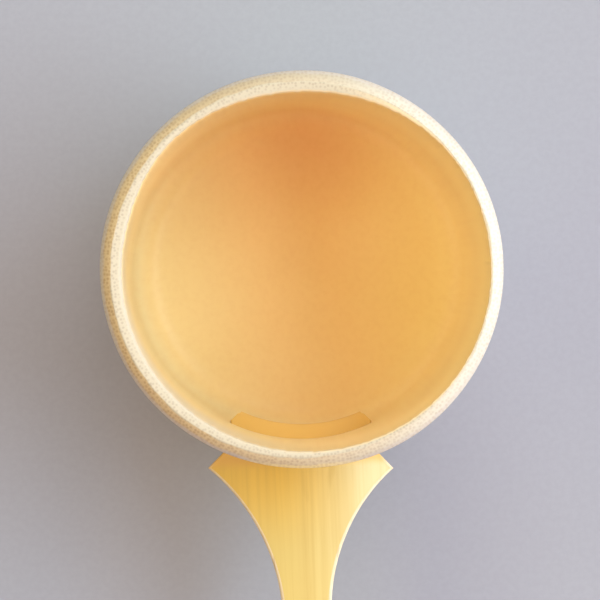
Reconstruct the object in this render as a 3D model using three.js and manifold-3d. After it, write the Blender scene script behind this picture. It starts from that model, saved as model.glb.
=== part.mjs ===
// Bamboo tea ladle in two pieces, in millimetres with +Z up.
// The cup is one culm section that ends just below a node, so that the node's wall is its floor. It stands on
// the XY plane with its axis on Z. The handle is one strip split from a culm, its skin side up. It leaves the
// cup towards -Y, and its tongue passes through an arched slot and shows inside the cup as a crescent moon.
import * as THREE from "three";
import { mergeVertices } from "three/addons/utils/BufferGeometryUtils.js";
import Module from "manifold-3d";

// Cup, outside
const mouthDiameter = 60;
const cupHeight = 51;
const culmTaper = 1.0; // the foot's radius is this much less than the mouth's
const footChamfer = 1.2;
const cupNodeHeight = 7.5;
const cupNodeBand = 7;
const cupNodeRise = 0.45;

// Cup, wall at the mouth. A culm is never quite round inside, so each side has its own wall.
const wallRight = 2.25;
const wallLeft = 3.4;
const wallBack = 3.7;
const wallFront = 3.2;

// Cup, rim: a rounded bevel outside, a ridge, and a countersink that runs gently down from the ridge to the bore
const rimBevelWidth = 2.0;
const rimRoundRadius = 4.0;
const rimCountersinkAngle = 10; // degrees from the level of the mouth

// Cup, inside
const boreLean = 1.1; // the floor's middle lies this much to the left of the mouth's
const floorThickness = 6.6; // at the middle
const floorDish = 2.6; // how far the dished floor would rise from its middle to the wall
const cornerWidth = 3.6; // how far the soft corner between floor and wall reaches over the floor
const cornerHeight = 6; // and how far it reaches up the wall

// Joint between the cup and the handle
const jointDepth = 23; // from the rim's ridge down to the handle's skin, at the outside of the wall
const jointGap = 0.3;
const tongueWidth = 22.4;
const tongueThickness = 2.6;
const tongueProjection = 2.1; // how far the crescent stands out from the wall inside the cup
const hornChamfer = 1.7; // 45 degree cut across each end of the crescent

// Handle. Distances along it start at the outside of the cup's wall.
const handleRise = 8; // degrees above the level of the mouth
const handleLength = 288;
const handleDrift = 2.4; // degrees that the strip bears to the right, past its head
const stripCulmRadius = 36; // radius of the culm that the strip was split from
const shoulderWidth = 29.6; // between the two points of the head
const shoulderGap = 0.55; // how far outside the wall the slanted cut to each point begins
const flareRadius = 31.2; // each side of the head curves in to the neck on this radius
const neckWidth = 7.6;
const gripWidth = 8.6;
const neckThickness = 3.4;
const gripThickness = 2.9;
const edgeChamfer = 0.5;
const handleNodeDistance = 168;
const handleNodeBand = 9;
const handleNodeRise = 0.55;
const endCutAngle = 50; // degrees that the cut across the skin leans back from square

// Fineness of the round faces
const cupSegments = 80;
const cornerSteps = 8;
const cornerFineness = 16; // small steps of the corner's curve for each face of it
const rimSteps = 5;
const dishSteps = 6;
const nodeSteps = 8;
const flareSteps = 14;
const skinSteps = 10;
const cutMargin = 1.5; // how far a cutting tool reaches past what it cuts

const cupFinish = { color: 0xe9b968, roughness: 0.55, metalness: 0 };
const handleFinish = { color: 0xf0cb78, roughness: 0.42, metalness: 0 };

const radians = THREE.MathUtils.degToRad;
const lerp = THREE.MathUtils.lerp;
const smoothstep = THREE.MathUtils.smoothstep;

const wasm = await Module();
wasm.setup();

// A closed geometry as a solid that can be cut. Triangles that shrink to a line on a lathe's axis are left out.
function solidFrom(geometry) {
  const bare = geometry.clone();
  bare.deleteAttribute("normal");
  bare.deleteAttribute("uv");
  const merged = mergeVertices(bare);
  const corners = merged.index.array;
  const kept = [];
  for (let i = 0; i < corners.length; i += 3) {
    const [a, b, c] = corners.slice(i, i + 3);
    if (a !== b && b !== c && c !== a) kept.push(a, b, c);
  }
  const mesh = new wasm.Mesh({
    numProp: 3,
    vertProperties: new Float32Array(merged.attributes.position.array),
    triVerts: new Uint32Array(kept),
  });
  return new wasm.Manifold(mesh);
}

// A solid's surface as a geometry to show
function geometryFrom(solid) {
  const surface = solid.getMesh();
  const geometry = new THREE.BufferGeometry();
  geometry.setAttribute("position", new THREE.BufferAttribute(surface.vertProperties, 3));
  geometry.setIndex(new THREE.BufferAttribute(surface.triVerts, 1));
  geometry.computeVertexNormals();
  return geometry;
}

// A profile of [radius, height] points turned about Z
function turned(profile) {
  const points = profile.map(([radius, height]) => new THREE.Vector2(radius, height));
  return new THREE.LatheGeometry(points, cupSegments).rotateX(Math.PI / 2);
}

// How far a circle falls away from its crown at a distance to the side
function sag(radius, side) {
  return radius - Math.sqrt(radius * radius - side * side);
}

// A smooth swelling, 1 at its middle and 0 at both ends of its band
function swelling(place, middle, band) {
  const share = Math.min(1, Math.abs(place - middle) / (band / 2));
  return (1 + Math.cos(Math.PI * share)) / 2;
}

// Places spread evenly over a band, ends included
function spread(start, end, steps) {
  return Array.from({ length: steps + 1 }, (_, i) => lerp(start, end, i / steps));
}

// Cup
const mouthRadius = mouthDiameter / 2;
const footRadius = mouthRadius - culmTaper;
const ridgeRadius = mouthRadius - rimBevelWidth;
const rimTurn = Math.acos(1 - rimBevelWidth / rimRoundRadius); // how far the bevel turns in from the wall
const bevelFoot = cupHeight - rimRoundRadius * Math.sin(rimTurn);

function outerRadiusAt(height) {
  const straight = lerp(footRadius, mouthRadius, height / bevelFoot);
  return straight + cupNodeRise * swelling(height, cupNodeHeight, cupNodeBand);
}

function cupBlank() {
  const nodeStart = cupNodeHeight - cupNodeBand / 2;
  const nodeEnd = cupNodeHeight + cupNodeBand / 2;
  const node = spread(nodeStart, nodeEnd, nodeSteps).map((height) => [outerRadiusAt(height), height]);
  const rim = spread(0, rimTurn, rimSteps).map((angle) => [
    mouthRadius - rimRoundRadius * (1 - Math.cos(angle)),
    bevelFoot + rimRoundRadius * Math.sin(angle),
  ]);
  return turned([
    [0, 0],
    [footRadius - footChamfer, 0],
    [outerRadiusAt(footChamfer), footChamfer],
    ...node,
    ...rim,
    [0, cupHeight],
  ]);
}

// The bore is oval and a little off the culm's axis, because the four walls differ.
const boreHalfWidth = mouthRadius - (wallLeft + wallRight) / 2;
const boreHalfLength = mouthRadius - (wallFront + wallBack) / 2;
const boreCentreX = (wallLeft - wallRight) / 2;
const boreCentreY = (wallFront - wallBack) / 2;
const boreDepth = cupHeight - floorThickness;

// The corner between wall and floor as shares of its width and height. It bends most at its middle, so that it
// runs into the wall and into the floor without a line.
function cornerShares() {
  const fineSteps = cornerSteps * cornerFineness;
  const places = [[0, 0]];
  let inward = 0;
  let down = 0;
  for (let i = 0; i < fineSteps; i += 1) {
    const share = (i + 0.5) / fineSteps;
    const turn = (Math.PI * share - Math.sin(2 * Math.PI * share) / 2) / 2;
    inward += Math.sin(turn);
    down += Math.cos(turn);
    places.push([inward, down]);
  }
  const kept = places.filter((_, i) => i % cornerFineness === 0);
  return kept.map(([x, y]) => [x / inward, y / down]);
}

function boreTool() {
  const dishAt = (radius) => floorThickness + floorDish * (radius / boreHalfLength) ** 2;
  const dish = spread(0, boreHalfLength - cornerWidth, dishSteps).map((radius) => [radius, dishAt(radius)]);
  const corner = cornerShares().map(([inward, down]) => {
    const radius = boreHalfLength - cornerWidth * inward;
    return [radius, dishAt(radius) + cornerHeight * (1 - down)];
  });
  const top = cupHeight + cutMargin;
  const tool = turned([...dish, ...corner.reverse().slice(1), [boreHalfLength, top], [0, top]]);
  tool.scale(boreHalfWidth / boreHalfLength, 1, 1);
  const slope = boreLean / boreDepth;
  const lean = new THREE.Matrix4().set(1, 0, slope, -slope * cupHeight, 0, 1, 0, 0, 0, 0, 1, 0, 0, 0, 0, 1);
  return tool.applyMatrix4(lean).translate(boreCentreX, boreCentreY, 0);
}

function countersinkTool() {
  const thickestWall = Math.max(wallLeft, wallRight, wallFront, wallBack);
  const run = thickestWall - rimBevelWidth + cutMargin;
  const fall = run * Math.tan(radians(rimCountersinkAngle));
  const share = cutMargin / run;
  return turned([
    [0, cupHeight - fall],
    [ridgeRadius - run, cupHeight - fall],
    [ridgeRadius + cutMargin, cupHeight + fall * share],
    [0, cupHeight + fall * share],
  ]);
}

// Joint: where the strip's edges meet the wall, measured along the handle
const jointHeight = cupHeight - jointDepth;
const wallOutside = outerRadiusAt(jointHeight);
const wallInside = boreHalfLength - boreCentreY;
const rise = radians(handleRise);
const tongueHalf = tongueWidth / 2;
const shoulderHalf = shoulderWidth / 2;
const neckHalf = neckWidth / 2;
const gripHalf = gripWidth / 2;
const tipRadius = wallInside - tongueProjection;

// Distance along the handle at which one of its edges stands at a radius from the cup's axis
function alongAt(radius, side) {
  const level = wallOutside - Math.sqrt(radius * radius - side * side);
  return -(level + sag(stripCulmRadius, side) * Math.sin(rise)) / Math.cos(rise);
}

const hornHalf = tongueHalf - hornChamfer;
const hornRoot = alongAt(wallInside, tongueHalf);
const hornTip = hornRoot - hornChamfer;
const tongueStart = Math.min(hornTip, alongAt(tipRadius, hornHalf)) - cutMargin;
const shoulderRoot = alongAt(wallOutside, tongueHalf) + shoulderGap;
const shoulderTip = shoulderRoot + shoulderHalf - tongueHalf;
const flareDrop = flareRadius - (shoulderHalf - neckHalf);
const neckStart = shoulderTip + Math.sqrt(flareRadius * flareRadius - flareDrop * flareDrop);
const endSlope = Math.tan(radians(endCutAngle));
const skinEnd = handleLength - gripThickness * endSlope;

function halfWidthAt(along) {
  if (along <= hornRoot) return Math.max(hornHalf, tongueHalf - (hornRoot - along));
  if (along <= shoulderTip) return Math.max(tongueHalf, tongueHalf + along - shoulderRoot);
  if (along <= neckStart) return neckHalf + sag(flareRadius, neckStart - along);
  const straight = lerp(neckHalf, gripHalf, (along - neckStart) / (skinEnd - neckStart));
  return straight + handleNodeRise * swelling(along, handleNodeDistance, handleNodeBand);
}

function driftAt(along) {
  return Math.max(0, along - shoulderTip) * Math.tan(radians(handleDrift));
}

function thicknessAt(along) {
  const head = lerp(tongueThickness, neckThickness, smoothstep(along, shoulderTip, neckStart));
  const grip = Math.max(0, (along - neckStart) / (skinEnd - neckStart));
  return lerp(head, gripThickness, Math.min(1, grip));
}

// One closed section of the strip: the arched skin from left to right, then the hollow flesh side back again.
// Point k of the ring lies over point k of the ring read backwards. A clearance grows it on all four sides.
function stripSection(along, halfWidth, clearance) {
  const half = halfWidth + clearance;
  const skin = clearance + handleNodeRise * swelling(along, handleNodeDistance, handleNodeBand);
  const flesh = -thicknessAt(along) - clearance;
  const fleshRadius = stripCulmRadius + flesh;
  const lean = along === skinEnd ? endSlope : 0;
  const point = (side, up) => new THREE.Vector3(side + driftAt(along), -along + lean * up, up);
  const across = spread(edgeChamfer - half, half - edgeChamfer, skinSteps);
  const skinEdge = skin - sag(stripCulmRadius, half) - edgeChamfer;
  const fleshEdge = flesh - sag(fleshRadius, half) + edgeChamfer;
  const upper = across.map((side) => point(side, skin - sag(stripCulmRadius, side)));
  const lower = across.map((side) => point(side, flesh - sag(fleshRadius, side)));
  return [
    point(-half, skinEdge),
    ...upper,
    point(half, skinEdge),
    point(half, fleshEdge),
    ...lower.reverse(),
    point(-half, fleshEdge),
  ];
}

// A closed skin over a row of such sections, with both ends capped
function loft(sections) {
  const size = sections[0].length;
  const corners = [];
  const quad = (a, b, c, d) => corners.push(a, c, b, a, d, c);
  sections.slice(1).forEach((_, row) => {
    for (let k = 0; k < size; k += 1) {
      const next = (k + 1) % size;
      quad(row * size + k, row * size + next, (row + 1) * size + next, (row + 1) * size + k);
    }
  });
  const last = (sections.length - 1) * size;
  for (let k = 0; k < size / 2 - 1; k += 1) {
    quad(k, size - 1 - k, size - 2 - k, k + 1);
    quad(last + k, last + k + 1, last + size - 2 - k, last + size - 1 - k);
  }
  const geometry = new THREE.BufferGeometry().setFromPoints(sections.flat());
  return geometry.setIndex(corners);
}

// The strip before its tip is hollowed
function strip() {
  const nodeStart = handleNodeDistance - handleNodeBand / 2;
  const nodeEnd = handleNodeDistance + handleNodeBand / 2;
  const stations = [
    tongueStart,
    hornTip,
    hornRoot,
    shoulderRoot,
    ...spread(shoulderTip, neckStart, flareSteps),
    ...spread(nodeStart, nodeEnd, nodeSteps),
    skinEnd,
  ];
  return loft(stations.map((along) => stripSection(along, halfWidthAt(along), 0)));
}

// The slot has the tongue's arched section, with clearance all round, and runs right through the wall.
function slotTool() {
  return loft([tongueStart, cutMargin].map((along) => stripSection(along, tongueHalf, jointGap)));
}

// The handle's own frame: its skin's crown at the outside of the wall, turned up by the rise
const handleSeat = new THREE.Group();
handleSeat.name = "handle_seat";
handleSeat.position.set(0, -wallOutside, jointHeight);
handleSeat.rotation.x = -rise;
handleSeat.updateMatrix();

function cup() {
  const solid = solidFrom(cupBlank())
    .subtract(solidFrom(boreTool()))
    .subtract(solidFrom(countersinkTool()))
    .subtract(solidFrom(slotTool().applyMatrix4(handleSeat.matrix)));
  const mesh = new THREE.Mesh(geometryFrom(solid), new THREE.MeshStandardMaterial(cupFinish));
  mesh.name = "cup";
  return mesh;
}

// The tip is hollowed to a moon by a round tool about the cup's axis.
function handle() {
  const toolHeight = 2 * cupHeight;
  const moonTool = new THREE.CylinderGeometry(tipRadius, tipRadius, toolHeight, cupSegments);
  moonTool.rotateX(Math.PI / 2).applyMatrix4(handleSeat.matrix.clone().invert());
  const solid = solidFrom(strip()).subtract(solidFrom(moonTool));
  const mesh = new THREE.Mesh(geometryFrom(solid), new THREE.MeshStandardMaterial(handleFinish));
  mesh.name = "handle";
  return mesh;
}

handleSeat.add(handle());

const ladle = new THREE.Group();
ladle.name = "tea_ladle";
ladle.add(cup(), handleSeat);

export default ladle;
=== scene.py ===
"""Looks of a bamboo tea ladle in two pieces, laid out as a Blender add-on.

The cup is one culm section whose node is its floor, with a hand-cut rim. The handle is one split strip
whose tongue passes through the cup's wall. Both are meshes worked out from the sizes below, in metres, in
the frame of the packed part, and their finishes are node materials.
"""
import math
from typing import NamedTuple

import bpy
import numpy as np
from bpy.props import FloatProperty, FloatVectorProperty, IntProperty, PointerProperty
from bpy.types import Operator, Panel, PropertyGroup
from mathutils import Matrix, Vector


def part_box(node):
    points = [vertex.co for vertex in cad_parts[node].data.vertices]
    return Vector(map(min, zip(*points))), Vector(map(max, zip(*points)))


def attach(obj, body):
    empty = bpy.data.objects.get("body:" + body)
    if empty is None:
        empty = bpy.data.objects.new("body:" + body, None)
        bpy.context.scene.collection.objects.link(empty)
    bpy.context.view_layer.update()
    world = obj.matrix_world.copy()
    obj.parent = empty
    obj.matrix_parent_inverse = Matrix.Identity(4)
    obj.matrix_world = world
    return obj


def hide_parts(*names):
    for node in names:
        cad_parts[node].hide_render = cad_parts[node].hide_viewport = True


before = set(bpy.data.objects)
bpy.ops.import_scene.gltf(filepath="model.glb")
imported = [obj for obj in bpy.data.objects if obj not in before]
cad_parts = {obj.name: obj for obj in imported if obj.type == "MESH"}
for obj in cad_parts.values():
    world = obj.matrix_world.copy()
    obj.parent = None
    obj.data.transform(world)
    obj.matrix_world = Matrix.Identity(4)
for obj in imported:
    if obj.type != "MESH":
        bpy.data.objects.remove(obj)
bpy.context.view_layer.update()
CUP_LOW, CUP_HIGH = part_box("cup")

bl_info = {
    "name": "Bamboo tea ladle",
    "version": (1, 0, 0),
    "blender": (4, 5, 0),
    "location": "View3D > Sidebar > Ladle",
    "description": "Builds a bamboo tea ladle, its finishes and a plain stage",
    "category": "Object",
}

# Digits that a length shows after its point
LENGTH_DIGITS = 5


def length(name, default, description):
    return FloatProperty(
        name=name, default=default, description=description, unit="LENGTH", precision=LENGTH_DIGITS
    )


def angle(name, degrees, description):
    return FloatProperty(name=name, default=math.radians(degrees), description=description, subtype="ANGLE")


def count(name, default, description):
    return IntProperty(name=name, default=default, description=description, min=2)


def amount(name, default, description):
    return FloatProperty(name=name, default=default, description=description)


def colour(name, default, description):
    return FloatVectorProperty(
        name=name, default=default, description=description, subtype="COLOR", size=3, min=0.0, max=1.0
    )


class CupSizes(PropertyGroup):
    """Sizes of the culm section, its rim and its bore."""

    mouth: length("Mouth", CUP_HIGH.x - CUP_LOW.x, "Diameter outside, below the rim's bevel")
    height: length("Height", CUP_HIGH.z, "From the foot to the ridge of the rim")
    oval: length("Oval", 0.00043, "How much less the radius is along the handle than across it")
    wave: length("Wave", 0.00005, "Unevenness of the culm's round")
    taper: length("Taper", 0.0010, "How much less the radius is at the foot")
    foot_chamfer: length("Foot chamfer", 0.0012, "Chamfer round the foot")
    node_height: length("Node height", 0.0075, "Height of the node's ridge above the foot")
    node_band: length("Node band", 0.0070, "Height of the band that the ridge takes")
    node_rise: length("Node rise", 0.00045, "How far the ridge stands out")
    scar_drop: length("Scar drop", 0.0026, "How far the leaf scar lies below the ridge")
    scar_band: length("Scar band", 0.0011, "Height of the scar's groove")
    scar_depth: length("Scar depth", 0.00022, "Depth of the scar's groove")
    wall_right: length("Wall right", 0.00225, "Wall at the mouth, right of the handle seen from above")
    wall_left: length("Wall left", 0.00340, "Wall at the mouth, left of the handle seen from above")
    wall_back: length("Wall back", 0.00370, "Wall at the mouth, away from the handle")
    wall_front: length("Wall front", 0.00320, "Wall at the mouth, over the handle")
    bevel_width: length("Bevel width", 0.0020, "Width of the rounded bevel, seen from above")
    bevel_radius: length("Bevel radius", 0.0040, "Radius of the rounded bevel")
    ridge_wear: length("Ridge wear", 0.00018, "How much narrower the bevel is on its worn side")
    ridge_round: length("Ridge round", 0.00014, "Worn edge of the ridge")
    countersink: angle("Countersink", 6.5, "Slope of the cut from the ridge to the bore")
    edge_round: length("Edge round", 0.00042, "Worn edge between the countersink and the bore")
    ripple: length("Ripple", 0.000028, "Knife marks along the edge of the bore")
    bulge_depth: length("Bulge depth", 0.0130, "How deep the carved bulges of the bore reach")
    floor_thickness: length("Floor thickness", 0.0066, "Node wall at the middle of the floor")
    floor_dish: length("Floor dish", 0.0026, "How far the floor's edge lies above its middle")
    corner_width: length("Corner width", 0.0056, "How far the soft corner reaches over the floor")
    corner_height: length("Corner height", 0.0095, "How far the soft corner reaches up the wall")
    bore_lean: length("Bore lean", 0.0011, "How far the floor's middle lies left of the mouth's")
    segments: count("Segments", 640, "Faces round the cup")


class JointSizes(PropertyGroup):
    """Sizes of the tongue and of the slot that it passes through."""

    depth: length("Depth", 0.0230, "From the ridge of the rim down to the handle's skin at the wall")
    gap: length("Gap", 0.00006, "Clearance between the tongue and its slot")
    tongue_width: length("Tongue width", 0.0224, "Width of the tongue in its slot")
    tongue_thickness: length("Tongue thickness", 0.0026, "Thickness of the tongue")
    projection: length("Projection", 0.0021, "How far the crescent stands out inside the cup")
    horn_chamfer: length("Horn chamfer", 0.0017, "Cut across each end of the crescent")
    horn_set: length("Horn set", 0.00025, "How far inside the wall that cut begins")


class HandleSizes(PropertyGroup):
    """Sizes of the split strip. Distances along it start at the outside of the cup's wall."""

    rise: angle("Rise", 8.0, "Slope of the handle above the level of the mouth")
    reach: length("Length", 0.2880, "From the cup's wall to the end of the handle")
    culm_radius: length("Culm radius", 0.0360, "Radius of the culm that the strip was split from")
    drift: angle("Drift", 2.4, "How far the strip bears to the right, past its head")
    shoulder_width: length("Shoulder width", 0.0296, "Between the two points of the head")
    shoulder_gap: length("Shoulder gap", 0.00055, "How far outside the wall the cut to each point begins")
    flare_radius: length("Flare radius", 0.0312, "Radius of each side of the head")
    neck_width: length("Neck width", 0.0076, "Least width, below the head")
    grip_width: length("Grip width", 0.0086, "Width at the end")
    neck_thickness: length("Neck thickness", 0.0034, "Thickness at the neck")
    grip_thickness: length("Grip thickness", 0.0029, "Thickness at the end")
    edge_round: length("Edge round", 0.0005, "Eased long edges")
    node_distance: length("Node distance", 0.1680, "Distance of the strip's node")
    node_band: length("Node band", 0.0090, "Length of the band that the node takes")
    node_rise: length("Node rise", 0.00055, "How far the node stands out")
    end_cut: angle("End cut", 50.0, "How far the cut at the end leans back from square")
    columns: count("Columns", 36, "Faces across the skin")
    side_steps: count("Side steps", 8, "Faces over each long edge")


class BambooColours(PropertyGroup):
    """Colours of the bamboo, from its skin to its heart."""

    wall: colour("Wall", (0.90, 0.73, 0.412), "Scraped wall of the cup's inside")
    wall_foot: colour("Wall, foot", (0.92, 0.755, 0.435), "Paler ring where the wall meets the node")
    wall_deep: colour("Wall, deep", (0.85, 0.65, 0.355), "Darker streaks of the scraped wall")
    # Painted light: a less red tint on the left front of the wall, where the lights fall
    wall_painted_light_tint: colour("Wall, worn", (0.88, 0.96, 0.985), "Tint of the wall on the side that is worn most")
    # Painted light below the mouth: pale on the left front wall where the low lights fall, brighter on the
    # side of the lights
    left_lip_painted_light: colour("Lip", (0.64, 0.615, 0.505), "Pale wall below the mouth, where it is worn most")
    right_lip_painted_light: colour("Lip, sun side", (1.0, 0.83, 0.47), "Worn wall below the mouth, on the sun side")
    node: colour("Node", (0.88, 0.69, 0.32), "Scraped floor of the cup, which is the culm's node")
    node_deep: colour("Node, deep", (0.83, 0.615, 0.273), "Darker flecks of the floor")
    # Painted light tints of the floor, from the side away from the lights to the side towards them
    floor_painted_tint_shade_side: colour("Node, shade side", (0.915, 0.915, 0.925), "Tint of the floor on its shade side")
    floor_painted_tint_middle: colour("Node, middle", (1.0, 0.942, 0.95), "Tint of the floor between the two sides")
    floor_painted_tint_lit_side: colour("Node, sun side", (0.975, 0.985, 0.955), "Tint of the floor on its sun side")
    # Painted shade: a darker patch at the back of the floor, by the back wall
    back_floor_painted_shade: colour("Stain", (0.945, 0.875, 0.88), "Tint of the aged patch at the back of the floor")
    # Cut wall near the bore: darker and warmer on the side of the lights, which is painted shade there
    rim_flesh: colour("Rim flesh", (0.575, 0.56, 0.47), "Cut wall near the bore")
    rim_flesh_painted_lit: colour("Rim flesh, sun side", (0.46, 0.41, 0.285), "Cut wall near the bore, sun side")
    # Painted shade: a darker bevel on the far side from the handle
    rim_back_painted_shade: colour("Rim, back", (0.92, 0.90, 0.87), "Tint of the bevel on the far side from the handle")
    # Painted light: warm light bounced from the handle onto the outer edge over it
    rim_front_painted_light: colour("Rim, front", (0.84, 0.72, 0.40), "Handled skin at the edge over the handle")
    # Cut wall and bundles near the skin: on the rim they change from the side away from the lights to the
    # side towards them, which is painted shade and painted light
    rim_fibre: colour("Rim fibre", (0.68, 0.565, 0.345), "Cut wall near the skin, on the shade side")
    rim_fibre_painted_lit: colour("Rim, pale", (0.615, 0.61, 0.555), "Cut wall near the skin, on the sun side")
    bundle: colour("Bundle", (0.44, 0.31, 0.175), "Dark fibre bundles in the cut wall")
    bundle_painted_lit: colour("Bundle, pale", (0.50, 0.46, 0.39), "Paler bundles in the cut wall, sun side")
    thread: colour("Thread", (0.36, 0.32, 0.26), "Greyish threads in the cut wall near the bore")
    # Thin edge of the bore: painted shade where it faces the lights, painted light on the side of the
    # lights, where it faces away from them
    rim_edge_painted_shade: colour("Rim edge", (0.48, 0.45, 0.38), "Thin edge of the bore, on the shade side")
    rim_edge_painted_light: colour("Rim edge, sun side", (0.90, 0.76, 0.50), "Thin edge of the bore, on the sun side")
    rim_skin: colour("Rim skin", (0.60, 0.555, 0.50), "Shaved skin at the outer edge of the rim")
    # Skin: darker away from the lights and paler towards them, painted shade and painted light
    skin: colour("Skin", (0.55, 0.45, 0.29), "Outer skin of the cup, on the shade side")
    skin_painted_light: colour("Skin, sun side", (0.84, 0.74, 0.54), "Outer skin of the cup, on the sun side")
    skin_dark: colour("Skin, dark", (0.52, 0.41, 0.25), "Lines and scars in the cup's skin")
    # Painted shade and painted reflection: the tongue has the handle's skin, but deeper orange inside the
    # cup, where the cup shades it and its walls reflect warm light
    tongue: colour("Tongue", (0.69, 0.435, 0.122), "Skin of the handle's tongue inside the cup")
    strip: colour("Strip", (0.65, 0.535, 0.20), "Skin of the handle")
    # Painted shade: the head is deeper golden near the cup, which shades it
    strip_head_painted_shade: colour("Strip, head", (0.73, 0.51, 0.113), "Deeper skin of the handle's head")
    # Painted light: paler along the handle's right side, which faces the lights
    strip_painted_light: colour("Strip, sun side", (0.635, 0.585, 0.335), "Paler skin along the handle's right side")
    strip_dark: colour("Strip, dark", (0.50, 0.355, 0.10), "Fibre lines in the handle's skin")
    flesh: colour("Flesh", (0.72, 0.625, 0.45), "Cut sides and underside of the handle")
    flesh_dark: colour("Flesh, dark", (0.50, 0.36, 0.19), "Fibre dashes in the cut sides")
    floor: colour("Floor", (0.336, 0.371, 0.470), "Plain floor under the ladle")


class StageSizes(PropertyGroup):
    """Camera, lights and floor."""

    view_width: length("View width", 0.0882, "Width of the picture at the level of the rim")
    camera_distance: length("Camera distance", 0.3000, "From the rim up to the camera")
    camera_right: length("Camera right", -0.0025, "Camera's place across the handle")
    camera_back: length("Camera back", -0.0003, "Camera's place along the handle")
    middle_right: length("Middle right", -0.00031, "Middle of the picture at the rim, across the handle")
    middle_back: length("Middle back", -0.0045, "Middle of the picture at the rim, along the handle")
    floor_size: length("Floor size", 8.0, "Side of the square floor")
    light_distance: length("Light distance", 1.4, "From the cup to each light")
    world_strength: amount("World strength", 0.01, "Strength of the even light all round")
    world_tint: colour("World tint", (0.86, 0.87, 0.92), "Colour of the even light all round")


def light_group(name, azimuth, elevation, width, height, power, tint):
    """Settings of one soft light that stands on a dome over the ladle."""
    fields = {
        "azimuth": angle("Azimuth", azimuth, "Direction of the light, from +X towards +Y"),
        "elevation": angle("Elevation", elevation, "Height of the light above the floor"),
        "width": angle("Width", width, "How wide the light looks from the ladle"),
        "height": angle("Height", height, "How high the light looks from the ladle"),
        "power": amount("Power", power, "Watts of the light"),
        "tint": colour("Tint", tint, "Colour of the light"),
    }
    title = name.title().replace("_", "")
    return type(title, (PropertyGroup,), {"__doc__": "One soft light.", "__annotations__": fields})


# Angles in degrees, power in watts
LAMPS = {
    "ladle_low_front_light": dict(
        azimuth=310.0, elevation=3.5, width=50.0, height=7.0, power=7.4, tint=(0.98, 1.0, 0.926)
    ),
    "ladle_low_side_light": dict(
        azimuth=10.0, elevation=5.5, width=40.0, height=8.0, power=12.1, tint=(0.873, 0.941, 1.0)
    ),
    "ladle_window_light": dict(
        azimuth=350.0, elevation=27.0, width=50.0, height=18.0, power=5.3, tint=(1.0, 0.78, 0.47)
    ),
    "ladle_back_window_light": dict(
        azimuth=60.0, elevation=27.0, width=34.0, height=18.0, power=6.8, tint=(1.0, 0.826, 0.69)
    ),
    "ladle_high_window_light": dict(
        azimuth=10.0, elevation=50.0, width=44.0, height=24.0, power=12.25, tint=(0.85, 0.965, 1.0)
    ),
    "ladle_high_back_light": dict(
        azimuth=70.0, elevation=50.0, width=60.0, height=24.0, power=5.7, tint=(0.896, 0.988, 1.0)
    ),
    "ladle_left_fill_light": dict(
        azimuth=175.0, elevation=50.0, width=70.0, height=24.0, power=11.1, tint=(1.0, 0.887, 0.494)
    ),
    "ladle_front_fill_light": dict(
        azimuth=267.0, elevation=50.0, width=60.0, height=24.0, power=3.6, tint=(1.0, 0.23, 0.318)
    ),
    "ladle_overhead_light": dict(
        azimuth=0.0, elevation=89.9, width=50.0, height=50.0, power=7.1, tint=(1.0, 0.729, 0.546)
    ),
}
LIGHTS = {name: light_group(name, **look) for name, look in LAMPS.items()}


class Span(NamedTuple):
    """A smooth step: where it starts and ends, and what it gives before and after."""

    start: float
    end: float
    before: float = 0.0
    after: float = 1.0

    def moved(self, place):
        return self._replace(start=self.start + place, end=self.end + place)

    def times(self, reach):
        return self._replace(start=self.start * reach, end=self.end * reach)

    def giving(self, after):
        return self._replace(after=after)


class Grain(NamedTuple):
    """A noise, the least and the most that it gives, and its squeeze along the fibres."""

    scale: float
    most: float
    least: float = 0.0
    start: float = 0.3
    end: float = 0.7
    detail: float = 3.0
    roughness: float = 0.5
    squeeze: float = 1.0


class Dots(NamedTuple):
    """Cut fibre bundles: how many to the metre each way, how uneven they lie, and where a dot ends."""

    fineness: tuple
    uneven: float
    edge: Span


class Surface(NamedTuple):
    """Roughness of a finish, strength and depth of its relief, and its shine."""

    rough: Span
    strength: float
    depth: float
    shine: float = 0.5


class Bulge(NamedTuple):
    """A carved bulge of the bore: direction from +X towards +Y and half width in degrees, and its rise."""

    direction: float
    half_width: float
    rise: float


# Finishes of each piece, in the order of its materials
CUP_SKIN, CUP_RIM, CUP_INSIDE, CUP_SLOT = range(4)
STRIP_SKIN, STRIP_CUT, STRIP_END = range(3)
# Edges that turn by more than this stay sharp
CUP_CREASE = math.radians(32.0)
STRIP_CREASE = math.radians(35.0)

# Rows of faces on the cup, from the middle of the foot over the rim to the middle of the floor
FOOT_ROWS = 8
NODE_ROWS = 39
SIDE_ROWS = 13
BEVEL_ROWS = 11
EDGE_ROWS = 4
BAND_SHARES = (0.33, 0.67)
WALL_ROWS = 26
CORNER_ROWS = 28
CORNER_FINE_STEPS = 32
FLOOR_ROWS = 16
# Rows of faces on the handle, from the tip of its tongue to its end
TONGUE_ROWS = 16
SHOULDER_ROWS = 8
FLARE_ROWS = 44
GRIP_ROWS = 40
GRIP_NODE_ROWS = 48
# Least distance by which another one is divided
LEAST_GAP = 1e-9

# Numbers of the colour sockets of a mix node
MIX_SHARE, MIX_FIRST, MIX_SECOND = 0, 6, 7
MIX_RESULT = 2
# Axis of the fibres in each finish's own coordinates
UPRIGHT = 2
LENGTHWISE = 1
INWARD = 1

# Sides of the cup, and the share of the radius over which each one's tint comes in
# Side that the lights come from: colours that change towards it are painted light and painted shade
LIT_SIDE = (0.98, 0.17, 0.0)
LIT_REACH = Span(-1.0, 1.0)
BACK_SIDE = (-0.17, 0.985, 0.0)
BACK = Span(0.72, 0.92)
FRONT_SIDE = (0.0, -1.0, 0.0)
FRONT = Span(0.92, 0.97)
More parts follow.
